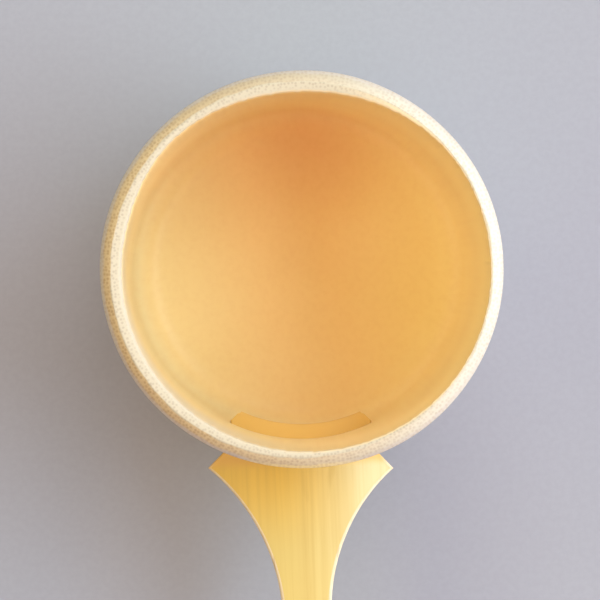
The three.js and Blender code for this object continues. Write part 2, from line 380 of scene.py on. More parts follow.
# Left front side: the bevel is narrower here, and the inside takes its painted light tint and pale band
# below the mouth here
LEFT_FRONT_SIDE = (-0.82, -0.57, 0.0)
LEFT_FRONT_REACH = Span(0.4, 0.95)
WALL_PAINTED_TINT_REACH = Span(0.25, 0.8)
# Middle of the painted shade at the back of the floor, and the distance over which it fades
BACK_SHADE_MIDDLE = (0.0036, 0.0215, 0.0120)
BACK_SHADE_REACH = Span(0.0175, 0.0)

# Rim: bands by their distance from the mouth's outside or from the ridge
SHAVED = Span(-0.0009, -0.0004)
FLESH = Span(0.00022, -0.00002)
THREADED = Span(-0.0011, -0.0004, 0.12, 0.5)
PAST_RIDGE = Span(-0.00004, -0.00020)
# Rim: its dots, the part of them that shows in the shaved skin, and its noises
BUNDLES = Dots(fineness=(1 / 0.00064, 1 / 0.00056, 0.0), uneven=0.65, edge=Span(0.54, 0.12))
THREADS = Dots(fineness=(1 / 0.00062, 1 / 0.00060, 0.0), uneven=0.7, edge=Span(0.46, 0.12))
SHAVED_DOTS = 0.4
RIM_WANDER = Grain(scale=260.0, detail=2.0, least=-0.00012, most=0.00012)
RIM_PATCHES = Grain(scale=420.0, least=0.45, most=0.75)
RIM_FINE = Grain(scale=5200.0, roughness=0.6, most=0.25, squeeze=0.35)
FLESH_FINE = Span(0.3, 0.7, 0.0, 0.12)
# Rim: where the flesh and the thin edge take their copies for the side of the lights, which are painted
# light and shade, and how level the edge's face still is
FLESH_LIT_SIDE = Span(0.9, 0.995)
EDGE_LIT_SIDE = Span(0.7, 0.95, 0.0, 0.8)
TURNED_IN = Span(0.985, 0.85)
RIM_SURFACE = Surface(rough=Span(0.0, 1.0, 0.52, 0.7), strength=0.25, depth=0.00005, shine=0.35)

# Inside: bands by shares of the corner's height, and the painted light below the mouth by its distance from
# the top
WALL_MET = Span(-0.1, 0.3)
WALL_RISEN = Span(0.3, 2.2)
LIP = Span(-0.021, -0.005)
# Inside: where the painted light below the mouth and the painted tints of the floor come in, from the side
# away from the lights 0 to the side towards them 1
LIP_LIT_SIDE = Span(0.55, 0.9)
NODE_SHADE = Span(0.0, 0.4)
NODE_LIT_SIDE = Span(0.6, 1.0)
STREAKS = Grain(scale=900.0, roughness=0.6, start=0.35, end=0.75, most=0.36, squeeze=0.03)
MOTTLE = Grain(scale=55.0, end=0.75, most=0.36)
INSIDE_SURFACE = Surface(rough=Span(0.3, 0.7, 0.42, 0.56), strength=0.12, depth=0.00004, shine=0.4)

# Outer skin: its noises, and the scar by shares of its groove
SKIN_LINES = Grain(scale=1300.0, roughness=0.65, start=0.4, end=0.75, most=0.4, squeeze=0.02)
SKIN_BANDS = Grain(scale=140.0, roughness=0.55, start=0.4, most=0.3, squeeze=0.08)
SCAR = Span(0.9, 0.2)
SKIN_SURFACE = Surface(rough=Span(0.3, 0.7, 0.24, 0.36), strength=0.15, depth=0.00004, shine=0.8)

# Handle: bands by their place along it, which is negative outside the wall, and its painted light side,
# towards the lights, by shares
OUTSIDE = Span(0.0, -0.002)
HEAD = Span(-0.002, -0.016)
STRIP_LIT_SIDE = Span(-0.3, 1.0)
STRIP_LINES = Grain(scale=1100.0, detail=4.0, roughness=0.65, start=0.4, end=0.75, most=0.28, squeeze=0.02)
STRIP_BANDS = Grain(scale=220.0, roughness=0.55, start=0.35, most=0.26, squeeze=0.05)
STRIP_FLECKS = Grain(scale=310.0, detail=2.0, start=0.6, end=0.74, most=0.3, squeeze=0.3)
STRIP_SURFACE = Surface(rough=Span(0.3, 0.7, 0.30, 0.42), strength=0.15, depth=0.00004, shine=0.25)
# Handle: split sides and cut ends
SPLIT_FIBRES = Grain(scale=1500.0, detail=4.0, roughness=0.7, start=0.35, end=0.75, most=0.3, squeeze=0.03)
SPLIT_DASHES = Grain(scale=1900.0, detail=2.0, start=0.55, end=0.72, most=0.5, squeeze=0.012)
SPLIT_SURFACE = Surface(rough=Span(0.3, 0.7, 0.5, 0.68), strength=0.3, depth=0.00006)
END_BUNDLES = Dots(fineness=(1700.0, 1700.0, 0.0), uneven=0.8, edge=Span(0.45, 0.2, 0.0, 0.6))
END_SURFACE = Surface(rough=Span(0.0, 0.6, 0.55, 0.7), strength=0.2, depth=0.00005)

# Floor under the ladle
FLOOR_GRAIN = Grain(scale=900.0, roughness=0.6, most=0.5)
FLOOR_CLOUD = Grain(scale=14.0, detail=2.0, most=0.2)
FLOOR_DEEP = 0.93
FLOOR_ROUGHNESS = 0.85
FLOOR_STRENGTH = 0.1
FLOOR_DEPTH = 0.0001
FLOOR_SHINE = 0.2


def sag(radius, side):
    """How far a circle falls away from its crown at a distance to the side."""
    return radius - np.sqrt(radius * radius - side * side)


def swelling(place, middle, band):
    """A smooth swelling, 1 at its middle and 0 at both ends of its band."""
    share = np.minimum(1.0, np.abs(place - middle) / (band / 2))
    return (1 + np.cos(np.pi * share)) / 2


def mixed(start, end, share):
    return start + (end - start) * share


def smooth(place, start, end):
    share = np.clip((place - start) / (end - start), 0.0, 1.0)
    return share * share * (3 - 2 * share)


def steps(start, end, rows):
    """Even steps from a start, which is left out, to an end."""
    return np.linspace(start, end, rows + 1)[1:]


def bend(start, corner, end):
    """Rows of points on a soft corner between two rows."""
    rows = []
    for share in np.linspace(0.0, 1.0, EDGE_ROWS + 1):
        first = mixed(start, corner, share)
        second = mixed(corner, end, share)
        rows.append(mixed(first, second, share))
    return rows


class CupForm:
    """Radii, heights and rings of the cup, worked out from its sizes."""

    BULGES = (
        Bulge(direction=135.0, half_width=34.0, rise=0.00062),
        Bulge(direction=42.0, half_width=38.0, rise=0.00030),
        Bulge(direction=90.0, half_width=22.0, rise=-0.00012),
    )
    # Knife marks: waves round the edge and their share of the ripple
    MARKS = ((47, 0.9), (83, 0.7), (127, 0.8), (171, 0.5))
    # Unevenness of the culm: waves round it and their share
    WAVES = ((3, 0.8), (5, 0.4), (8, 0.3))

    def __init__(self, sizes):
        self.sizes = sizes
        self.mouth_radius = sizes.mouth / 2
        self.foot_radius = self.mouth_radius - sizes.taper
        self.bevel_turn = math.acos(1 - sizes.bevel_width / sizes.bevel_radius)
        self.bevel_foot = sizes.height - sizes.bevel_radius * math.sin(self.bevel_turn)
        self.bore_half_width = self.mouth_radius - (sizes.wall_left + sizes.wall_right) / 2
        self.bore_half_length = self.mouth_radius - (sizes.wall_front + sizes.wall_back) / 2
        self.bore_centre = np.array(
            [(sizes.wall_left - sizes.wall_right) / 2, (sizes.wall_front - sizes.wall_back) / 2]
        )
        self.wall_foot = sizes.floor_thickness + sizes.floor_dish + sizes.corner_height
        self.turns = np.linspace(0.0, 2 * np.pi, sizes.segments, endpoint=False)
        self.cosine = np.cos(self.turns)
        self.sine = np.sin(self.turns)
        self.bulge = self._bulge()

    def _bulge(self):
        total = np.zeros_like(self.turns)
        for bulge in self.BULGES:
            off = np.angle(np.exp(1j * (self.turns - math.radians(bulge.direction))))
            total += bulge.rise * swelling(off, 0.0, 2 * math.radians(bulge.half_width))
        for waves, share in self.MARKS:
            total += self.sizes.ripple * share * np.sin(waves * self.turns + waves * waves)
        return total

    def outer_radius(self, height):
        sizes = self.sizes
        straight = mixed(self.foot_radius, self.mouth_radius, height / self.bevel_foot)
        ridge = sizes.node_rise * swelling(height, sizes.node_height, sizes.node_band)
        scar = sizes.scar_depth * swelling(height, sizes.node_height - sizes.scar_drop, sizes.scar_band)
        return straight + ridge - scar

    def outer_ring(self, radius, height):
        uneven = np.zeros_like(self.turns)
        for waves, share in self.WAVES:
            uneven += self.sizes.wave * share * np.cos(waves * self.turns + waves)
        reach = radius / self.mouth_radius
        across = (radius + uneven * reach) * self.cosine
        along = (radius + (uneven - self.sizes.oval) * reach) * self.sine
        return np.stack([across, along, np.full_like(across, height)], axis=1)

    def bore_ring(self, radius, heights, swell=0.0):
        stretch = self.bore_half_width / self.bore_half_length
        depth = self.sizes.height - self.sizes.floor_thickness
        lean = self.sizes.bore_lean * (self.sizes.height - heights) / depth
        across = self.bore_centre[0] - lean + (radius * stretch + swell) * self.cosine
        along = self.bore_centre[1] + (radius + swell) * self.sine
        return np.stack([across, along, np.broadcast_to(heights, across.shape)], axis=1)

    def wall_ring(self, heights):
        """A ring of the bore, with its bulges and knife marks fading towards the floor."""
        fade = smooth(heights, self.sizes.height - self.sizes.bulge_depth, self.sizes.height)
        return self.bore_ring(self.bore_half_length, heights, self.bulge * fade)

    def underside(self):
        foot = self.foot_radius - self.sizes.foot_chamfer
        return [self.outer_ring(foot * share, 0.0) for share in steps(0.0, 1.0, FOOT_ROWS)]

    def outer_wall(self):
        foot = self.sizes.foot_chamfer
        node_top = self.sizes.node_height + self.sizes.node_band
        heights = [foot, *steps(foot, node_top, NODE_ROWS), *steps(node_top, self.bevel_foot, SIDE_ROWS)]
        return [self.outer_ring(self.outer_radius(height), height) for height in heights]

    def bevel(self):
        sizes = self.sizes
        worn = smooth(LEFT_FRONT_SIDE[0] * self.cosine + LEFT_FRONT_SIDE[1] * self.sine, LEFT_FRONT_REACH.start, LEFT_FRONT_REACH.end)
        narrowing = 1 - worn * sizes.ridge_wear / sizes.bevel_width
        rows = []
        for turn in steps(0.0, self.bevel_turn, BEVEL_ROWS):
            radius = self.mouth_radius - sizes.bevel_radius * (1 - math.cos(turn)) * narrowing
            rows.append(self.outer_ring(radius, self.bevel_foot + sizes.bevel_radius * math.sin(turn)))
        return rows

    def mouth_edge(self, ridge):
        """Where the countersink meets the bore, all round."""
        edge = self.bore_ring(self.bore_half_length, self.sizes.height, self.bulge)
        run = np.linalg.norm(ridge[:, :2], axis=1) - np.linalg.norm(edge[:, :2], axis=1)
        run = np.maximum(run, self.sizes.ridge_round)
        edge[:, 2] -= run * math.tan(self.sizes.countersink)
        return edge

    def wall(self, top):
        """Rings of the bore from just below its edge to the foot of the wall."""
        rows = []
        for share in steps(0.0, 1.0, WALL_ROWS):
            rows.append(self.wall_ring(mixed(top[:, 2], self.wall_foot, share)))
        return rows

    def corner(self):
        """Shares of the corner's width and height, on a curve that bends most at its middle."""
        fine = np.linspace(0.0, 1.0, CORNER_ROWS * CORNER_FINE_STEPS + 1)
        turn = (np.pi * fine - np.sin(2 * np.pi * fine) / 2) / 2
        heading = (turn[1:] + turn[:-1]) / 2
        inward = np.cumsum(np.sin(heading))[CORNER_FINE_STEPS - 1 :: CORNER_FINE_STEPS]
        down = np.cumsum(np.cos(heading))[CORNER_FINE_STEPS - 1 :: CORNER_FINE_STEPS]
        return zip(inward / inward[-1], down / down[-1])

    def floor_ring(self, radius, lift):
        """A ring of the dished floor, lifted by the corner's own height."""
        dish = self.sizes.floor_dish * (radius / self.bore_half_length) ** 2
        return self.bore_ring(radius, self.sizes.floor_thickness + dish + lift)

    def floor(self):
        sizes = self.sizes
        rows = []
        for inward, down in self.corner():
            lift = sizes.corner_height * (1 - down)
            rows.append(self.floor_ring(self.bore_half_length - sizes.corner_width * inward, lift))
        for share in steps(1.0, 0.0, FLOOR_ROWS)[:-1]:
            rows.append(self.floor_ring((self.bore_half_length - sizes.corner_width) * share, 0.0))
        return rows


def towards(start, end, reach):
    """A row of points a given way from one row to the next, at most half of it."""
    gap = np.linalg.norm(end - start, axis=1, keepdims=True)
    return start + (end - start) * np.minimum(0.5, reach / np.maximum(gap, LEAST_GAP))


def cup_rows(form):
    """Rings from the underside over the rim to the floor, each with the finish of the band before it."""
    sizes = form.sizes
    side = form.outer_wall()
    bevel = form.bevel()
    ridge = bevel[-1]
    edge = form.mouth_edge(ridge)
    wall_top = form.wall_ring(edge[:, 2] - sizes.edge_round)
    before = towards(ridge, bevel[-2], sizes.ridge_round)
    after = towards(ridge, edge, sizes.ridge_round)
    shoulder = towards(edge, ridge, sizes.edge_round)
    bands = (
        (CUP_RIM, form.underside()),
        (CUP_RIM, side[:1]),
        (CUP_SKIN, side[1:]),
        (CUP_RIM, bevel[:-1]),
        (CUP_RIM, bend(before, ridge, after)),
        (CUP_RIM, [mixed(after, shoulder, share) for share in BAND_SHARES]),
        (CUP_RIM, bend(shoulder, edge, wall_top)),
        (CUP_INSIDE, form.wall(wall_top)),
        (CUP_INSIDE, form.floor()),
    )
    return [(ring, finish) for finish, rings in bands for ring in rings]


def grid_faces(first, second, closed=True):
    """Quads between two rows of vertex numbers."""
    if closed:
        first = first + first[:1]
        second = second + second[:1]
    return [(first[k], first[k + 1], second[k + 1], second[k]) for k in range(len(first) - 1)]


def fan_faces(ring, middle, turned=False):
    """Triangles from a closed row of vertex numbers to its middle."""
    pairs = zip(ring, ring[1:] + ring[:1])
    return [(after, here, middle) if turned else (here, after, middle) for here, after in pairs]


def cup_mesh(form):
    rows = cup_rows(form)
    size = form.sizes.segments
    points = np.concatenate([ring for ring, _ in rows])
    bottom = len(points)
    top = bottom + 1
    across, along = form.bore_centre
    floor_middle = [across - form.sizes.bore_lean, along, form.sizes.floor_thickness]
    points = np.concatenate([points, [[0.0, 0.0, 0.0], floor_middle]])
    numbers = np.arange(bottom).reshape(len(rows), size).tolist()
    faces = fan_faces(numbers[0], bottom, turned=True)
    finishes = [CUP_RIM] * size
    for first, second, (_, finish) in zip(numbers, numbers[1:], rows[1:]):
        faces += grid_faces(first, second)
        finishes += [finish] * size
    faces += fan_faces(numbers[-1], top)
    finishes += [CUP_INSIDE] * size
    return points, faces, finishes


class StripForm:
    """Outline, thickness and sections of the handle, worked out from its sizes and from the cup's wall."""

    def __init__(self, sizes, joint, cup):
        self.sizes = sizes
        self.joint = joint
        self.joint_height = cup.sizes.height - joint.depth
        self.wall_outside = float(cup.outer_radius(self.joint_height))
        self.wall_inside = float(cup.bore_half_length - cup.bore_centre[1])
        self.tip_radius = self.wall_inside - joint.projection
        self.tongue_half = joint.tongue_width / 2
        self.shoulder_half = sizes.shoulder_width / 2
        self.neck_half = sizes.neck_width / 2
        self.grip_half = sizes.grip_width / 2
        self.horn_root = self.along_at(self.wall_inside, self.tongue_half)
        self.shoulder_root = self.along_at(self.wall_outside, self.tongue_half) + sizes.shoulder_gap
        self.shoulder_tip = self.shoulder_root + self.shoulder_half - self.tongue_half
        flare_drop = sizes.flare_radius - (self.shoulder_half - self.neck_half)
        self.neck_start = self.shoulder_tip + math.sqrt(sizes.flare_radius**2 - flare_drop**2)
        self.end_slope = math.tan(sizes.end_cut)
        self.skin_end = sizes.reach - sizes.grip_thickness * self.end_slope

    def along_at(self, radius, side):
        """Distance along the handle at which a point of its skin stands at a radius from the cup's axis."""
        return self.tip_along(radius, side, -sag(self.sizes.culm_radius, side))

    def tip_along(self, radius, side, up):
        level = self.wall_outside - np.sqrt(radius * radius - side * side)
        return -(level - up * math.sin(self.sizes.rise)) / math.cos(self.sizes.rise)

    def node(self, along):
        """How far the strip's node stands out."""
        return self.sizes.node_rise * swelling(along, self.sizes.node_distance, self.sizes.node_band)

    def grip_share(self, along):
        """Share of the way from the neck to the end."""
        return (along - self.neck_start) / (self.skin_end - self.neck_start)

    def half_width(self, along):
        if along <= self.shoulder_tip:
            return max(self.tongue_half, self.tongue_half + along - self.shoulder_root)
        if along <= self.neck_start:
            return self.neck_half + sag(self.sizes.flare_radius, self.neck_start - along)
        return mixed(self.neck_half, self.grip_half, self.grip_share(along)) + self.node(along)

    def thickness(self, along):
        flare = smooth(along, self.shoulder_tip, self.neck_start)
        head = mixed(self.joint.tongue_thickness, self.sizes.neck_thickness, flare)
        return mixed(head, self.sizes.grip_thickness, min(1.0, max(0.0, self.grip_share(along))))

    def section(self, along, half, clearance=0.0):
        """One closed ring of the strip as (side, up): skin, right edge, flesh side and left edge."""
        sizes = self.sizes
        half = half + clearance
        lift = clearance + self.node(along)
        drop = self.thickness(along) + clearance
        ease = sizes.edge_round
        across = np.linspace(ease - half, half - ease, sizes.columns + 1)
        skin = np.stack([across, lift - sag(sizes.culm_radius, across)], axis=1)
        flesh = np.stack([across, -drop - sag(sizes.culm_radius - drop, across)], axis=1)
        high = skin[-1, 1] - ease
        low = flesh[-1, 1] + ease
        turn = steps(0.0, math.pi / 2, sizes.side_steps // 2)
        upper = np.stack([half - ease + ease * np.sin(turn), high + ease * np.cos(turn)], axis=1)
        lower = np.stack([upper[:, 0], low - ease * np.cos(turn)], axis=1)[::-1]
        right = np.concatenate([upper, lower])
        left = (right * (-1.0, 1.0))[::-1]
        return np.concatenate([skin, right, flesh[::-1], left])

    def start(self, ring):
        """Where the tongue begins, for each point of a ring: the hollow tip, or the slanted horn."""
        side = np.abs(ring[:, 0])
        tip = self.tip_along(self.tip_radius, np.minimum(side, self.tongue_half), ring[:, 1])
        horn = self.horn_root - self.joint.horn_set - (self.tongue_half - side)
        return np.where(side > self.tongue_half - 2 * self.joint.horn_chamfer, np.maximum(tip, horn), tip)

    def stations(self):
        sizes = self.sizes
        low = sizes.node_distance - sizes.node_band
        high = sizes.node_distance + sizes.node_band
        return [
            self.shoulder_root,
            *steps(self.shoulder_root, self.shoulder_tip, SHOULDER_ROWS),
            *steps(self.shoulder_tip, self.neck_start, FLARE_ROWS),
            *steps(self.neck_start, low, GRIP_ROWS),
            *steps(low, high, GRIP_NODE_ROWS),
            *steps(high, self.skin_end, GRIP_ROWS),
        ]

    def placed(self, ring, along):
        """A ring of (side, up) points as points of the frame."""
        along = np.broadcast_to(along, ring[:, 0].shape)
        cosine = math.cos(self.sizes.rise)
        sine = math.sin(self.sizes.rise)
        back = -along * cosine + ring[:, 1] * sine - self.wall_outside
        height = along * sine + ring[:, 1] * cosine + self.joint_height
        drift = np.maximum(0.0, along - self.shoulder_tip) * math.tan(self.sizes.drift)
        return np.stack([ring[:, 0] + drift, back, height], axis=1)


def strip_rings(form):
    """Rings of the handle from the crescent's tip to the cut end."""
    tongue = form.section(form.shoulder_root, form.tongue_half)
    start = form.start(tongue)
    rings = []
    for share in np.linspace(0.0, 1.0, TONGUE_ROWS, endpoint=False):
        rings.append(form.placed(tongue, mixed(start, form.shoulder_root, share)))
    for along in form.stations():
        ring = form.section(along, form.half_width(along))
        lean = form.end_slope * ring[:, 1] if along == form.skin_end else 0.0
        rings.append(form.placed(ring, along - lean))
    return rings


def cap_grid(ring, numbers, columns, points):
    """Faces that close a ring with a grid, whose inner points follow the ring's own edges."""
    sides = len(ring) // 2 - columns - 1
    ends = np.cumsum([columns + 1, sides, columns + 1])
    skin, right, flesh, left = np.split(np.arange(len(ring)), ends)
    flesh = flesh[::-1]
    left = left[::-1]
    rows = [[numbers[k] for k in skin]]
    for step in range(sides):
        share = (step + 1) / (sides + 1)
        row = [numbers[left[step]]]
        for column in range(1, columns):
            across = column / columns
            level = mixed(ring[left[step]], ring[right[step]], across)
            upright = mixed(ring[skin[column]], ring[flesh[column]], share)
            above = mixed(ring[skin[0]], ring[skin[-1]], across)
            below = mixed(ring[flesh[0]], ring[flesh[-1]], across)
            row.append(len(points))
            points.append(level + upright - mixed(above, below, share))
        rows.append([*row, numbers[right[step]]])
    rows.append([numbers[k] for k in flesh])
    faces = []
    for first, second in zip(rows, rows[1:]):
        faces += grid_faces(first, second, closed=False)
    return faces


def strip_mesh(form, rings):
    size = len(rings[0])
    columns = form.sizes.columns
    points = [point for ring in rings for point in ring]
    numbers = np.arange(len(points)).reshape(len(rings), size).tolist()
    faces = []
    finishes = []
    for first, second in zip(numbers, numbers[1:]):
        faces += [face[::-1] for face in grid_faces(first, second)]
        finishes += [STRIP_SKIN if k < columns else STRIP_CUT for k in range(size)]
    tip = cap_grid(rings[0], numbers[0], columns, points)
    end = cap_grid(rings[-1], numbers[-1], columns, points)
    faces += [face[::-1] for face in tip] + end
    finishes += [STRIP_END] * (len(tip) + len(end))
    return np.array(points), faces, finishes


def slot_tool(form):
    """The tongue's section, grown by the gap, through the whole wall."""
    reach = form.joint.projection + form.sizes.edge_round
    ring = form.section(form.shoulder_root, form.tongue_half, form.joint.gap)
    inner = form.placed(ring, form.along_at(form.tip_radius, 0.0) - reach)
    outer = form.placed(ring, reach)
    points, faces, _ = strip_mesh(form, [inner, outer])
    return points, faces


def mesh_object(name, points, faces, finishes=None, materials=()):
    mesh = bpy.data.meshes.new(name)
    mesh.from_pydata(points.tolist(), [], faces)
    for material in materials:
        mesh.materials.append(material)
    if finishes is not None:
        mesh.polygons.foreach_set("material_index", finishes)
    mesh.update()
    made = bpy.data.objects.new(name, mesh)
    bpy.context.scene.collection.objects.link(made)
    return made


def cut(piece, tool):
    """Cuts a tool out of a piece, for good, and removes the tool."""
    modifier = piece.modifiers.new("slot", "BOOLEAN")
    modifier.operation = "DIFFERENCE"
    modifier.solver = "EXACT"
    modifier.object = tool
    whole = piece.data
    evaluated = piece.evaluated_get(bpy.context.evaluated_depsgraph_get())
    piece.data = bpy.data.meshes.new_from_object(evaluated)
    piece.modifiers.clear()
    piece.data.name = piece.name
    bpy.data.meshes.remove(whole)
    tool_mesh = tool.data
    bpy.data.objects.remove(tool)
    bpy.data.meshes.remove(tool_mesh)


def shade(piece, sharp_angle):
    mesh = piece.data
    mesh.polygons.foreach_set("use_smooth", [True] * len(mesh.polygons))
    mesh.set_sharp_from_angle(angle=sharp_angle)


class Finish:
    """One node material. Each call adds a node and gives back its output."""

    def __init__(self, name):
        self.material = bpy.data.materials.new(name)
        self.material.use_nodes = True
        self.tree = self.material.node_tree
        self.shader = self.tree.nodes["Principled BSDF"]
        self.place = self.add("ShaderNodeTexCoord", {}, {}, "Object")

    def add(self, kind, settings, inputs, output=0):
        node = self.tree.nodes.new(kind)
        for name, value in settings.items():
            setattr(node, name, value)
        for name, value in inputs.items():
            self.feed(node.inputs[name], value)
        return node.outputs[output]

    def feed(self, socket, value):
        if isinstance(value, bpy.types.NodeSocket):
            self.tree.links.new(value, socket)
        elif socket.type == "RGBA":
            socket.default_value = (*value, 1.0)
        else:
            socket.default_value = value

    def set(self, **values):
        for name, value in values.items():
            self.feed(self.shader.inputs[name.replace("_", " ")], value)

    def math(self, operation, first, second=0.0):
        return self.add("ShaderNodeMath", {"operation": operation}, {0: first, 1: second})

    def times(self, first, second):
        return self.math("MULTIPLY", first, second)

    def plus(self, first, second):
        return self.math("ADD", first, second)

    def minus(self, first, second):
        return self.math("SUBTRACT", first, second)

    def scaled(self, vector, scale):
        return self.add("ShaderNodeVectorMath", {"operation": "MULTIPLY"}, {0: vector, 1: scale})

    def measure(self, operation, *vectors):
        """One number worked out from vectors."""
        return self.add("ShaderNodeVectorMath", {"operation": operation}, dict(enumerate(vectors)), "Value")

    def parts(self, vector):
        """The three coordinates of a vector."""
        return tuple(self.add("ShaderNodeSeparateXYZ", {}, {0: vector}).node.outputs)

    def turned(self, vector, origin, rotation):
        """Coordinates of a frame with its own origin and turn."""
        inputs = {"Vector": vector, "Location": origin, "Rotation": rotation}
        return self.add("ShaderNodeMapping", {"vector_type": "TEXTURE"}, inputs)

    def span(self, value, step):
        inputs = dict(zip(("Value", "From Min", "From Max", "To Min", "To Max"), (value, *step)))
        return self.add("ShaderNodeMapRange", {"interpolation_type": "SMOOTHSTEP"}, inputs)

    def grain(self, pattern, vector, axis=UPRIGHT):
        """A noise squeezed along one axis, and what it gives between its least and its most."""
        stretch = [1.0, 1.0, 1.0]
        stretch[axis] = pattern.squeeze
        inputs = {"Scale": pattern.scale, "Detail": pattern.detail, "Roughness": pattern.roughness}
        noise = self.add("ShaderNodeTexNoise", {}, {"Vector": self.scaled(vector, stretch), **inputs})
        return noise, self.span(noise, Span(pattern.start, pattern.end, pattern.least, pattern.most))

    def dots(self, pattern, vector):
        place = self.scaled(vector, pattern.fineness)
        inputs = {"Vector": place, "Scale": 1.0, "Randomness": pattern.uneven}
        cells = self.add("ShaderNodeTexVoronoi", {"voronoi_dimensions": "2D"}, inputs, "Distance")
        return self.span(cells, pattern.edge)

    def mix(self, share, first, second, blend="MIX"):
        settings = {"data_type": "RGBA", "blend_type": blend}
        inputs = {MIX_SHARE: share, MIX_FIRST: first, MIX_SECOND: second}
        return self.add("ShaderNodeMix", settings, inputs, MIX_RESULT)

    def tint(self, share, first, second):
        return self.mix(share, first, second, "MULTIPLY")

    def relief(self, height, strength, depth):
        return self.add("ShaderNodeBump", {}, {"Height": height, "Strength": strength, "Distance": depth})

    def surface(self, look, colour, patches, marks):
        """Sets the shader's colour, its roughness by patches, its relief by marks, and its shine."""
        self.set(Base_Color=colour, Roughness=self.span(patches, look.rough))
        self.set(Normal=self.relief(marks, look.strength, look.depth), Specular_IOR_Level=look.shine)
        return self.material


def towards_side(finish, side):
    """How far a point lies from the cup's axis towards one side."""
    return finish.measure("DOT_PRODUCT", finish.place, side)


def light_side_share(finish, reach):
    """How far a point lies towards the side of the culm that the sun has bleached, from 0 to 1."""
    return finish.span(towards_side(finish, LIT_SIDE), LIT_REACH.times(reach))


def ring_rows(finish, flat, radius, mouth):
    """Coordinates that run round the mouth and in from it, so that a pattern lies in rings."""
    across, along, _ = finish.parts(finish.scaled(flat, (-1.0, -1.0, 0.0)))
    turn = finish.math("ARCTAN2", along, across)
    return finish.add("ShaderNodeCombineXYZ", {}, {0: finish.times(turn, mouth), 1: radius})


def rim_finish(colours, cup):
    """End grain: fibre bundles that stand upright in the wall, crowded and brown near the skin."""
    finish = Finish("cup_rim")
    mouth = cup.mouth / 2
    ridge = mouth - cup.bevel_width
    flat = finish.scaled(finish.place, (1.0, mouth / (mouth - cup.oval), 0.0))
    radius = finish.measure("LENGTH", flat)
    rows = ring_rows(finish, flat, radius, mouth)
    lit = light_side_share(finish, mouth)
    back = finish.span(towards_side(finish, BACK_SIDE), BACK.times(mouth))
    front = finish.span(towards_side(finish, FRONT_SIDE), FRONT.times(mouth))
    wear = finish.span(towards_side(finish, LEFT_FRONT_SIDE), LEFT_FRONT_REACH.times(ridge).giving(cup.ridge_wear))
    _, wander = finish.grain(RIM_WANDER, flat)
    edge = finish.plus(radius, wander)
    inward = finish.span(finish.minus(edge, wear), FLESH.moved(ridge))
    fine, fine_share = finish.grain(RIM_FINE, rows, INWARD)
    # Bundles: painted shade away from the lights, painted light towards them
    bundle = finish.mix(lit, colours.bundle, colours.bundle_painted_lit)
    # Cut wall from the skin to the ridge
    _, patches = finish.grain(RIM_PATCHES, flat)
    outer_share = finish.times(finish.dots(BUNDLES, rows), patches)
    # Cut wall: painted shade and light from side to side, and painted shade on the far side from the handle
    cut_wall = finish.tint(back, finish.mix(lit, colours.rim_fibre, colours.rim_fibre_painted_lit), colours.rim_back_painted_shade)
    outer = finish.mix(outer_share, finish.mix(fine_share, cut_wall, bundle), bundle)
    # Cut wall from the ridge to the bore
    inner_share = finish.times(finish.dots(THREADS, rows), finish.span(radius, THREADED.moved(ridge)))
    # Flesh: painted shade on the side of the lights
    pale = finish.mix(finish.span(lit, FLESH_LIT_SIDE), colours.rim_flesh, colours.rim_flesh_painted_lit)
    flesh = finish.mix(finish.span(fine, FLESH_FINE), pale, bundle)
    inner = finish.mix(inner_share, flesh, colours.thread)
    # Shaved skin at the outer edge, warmer over the handle: painted light bounced from the handle
    skin = finish.mix(front, colours.rim_skin, colours.rim_front_painted_light)
    shaved = finish.mix(finish.times(outer_share, SHAVED_DOTS), skin, colours.bundle)
    skinward = finish.span(edge, SHAVED.moved(mouth))
    cut_face = finish.mix(skinward, finish.mix(inward, outer, inner), shaved)
    # Thin edge of the bore: painted light on the side of the lights, where the edge faces away from them,
    # and painted shade on the far side, where it faces them
    facing = finish.add("ShaderNodeNewGeometry", {}, {}, "Normal")
    _, _, up = finish.parts(facing)
    past_ridge = finish.span(finish.minus(radius, wear), PAST_RIDGE.moved(ridge))
    turned_in = finish.math("MAXIMUM", finish.span(up, TURNED_IN), finish.span(lit, EDGE_LIT_SIDE))
    # The edge's colour: painted shade on the far side, painted light on the side of the lights
    worn = finish.mix(lit, colours.rim_edge_painted_shade, colours.rim_edge_painted_light)
    dots = finish.mix(inward, outer_share, inner_share)
    whole = finish.mix(finish.times(past_ridge, turned_in), cut_face, worn)
    return finish.surface(RIM_SURFACE, whole, dots, dots)


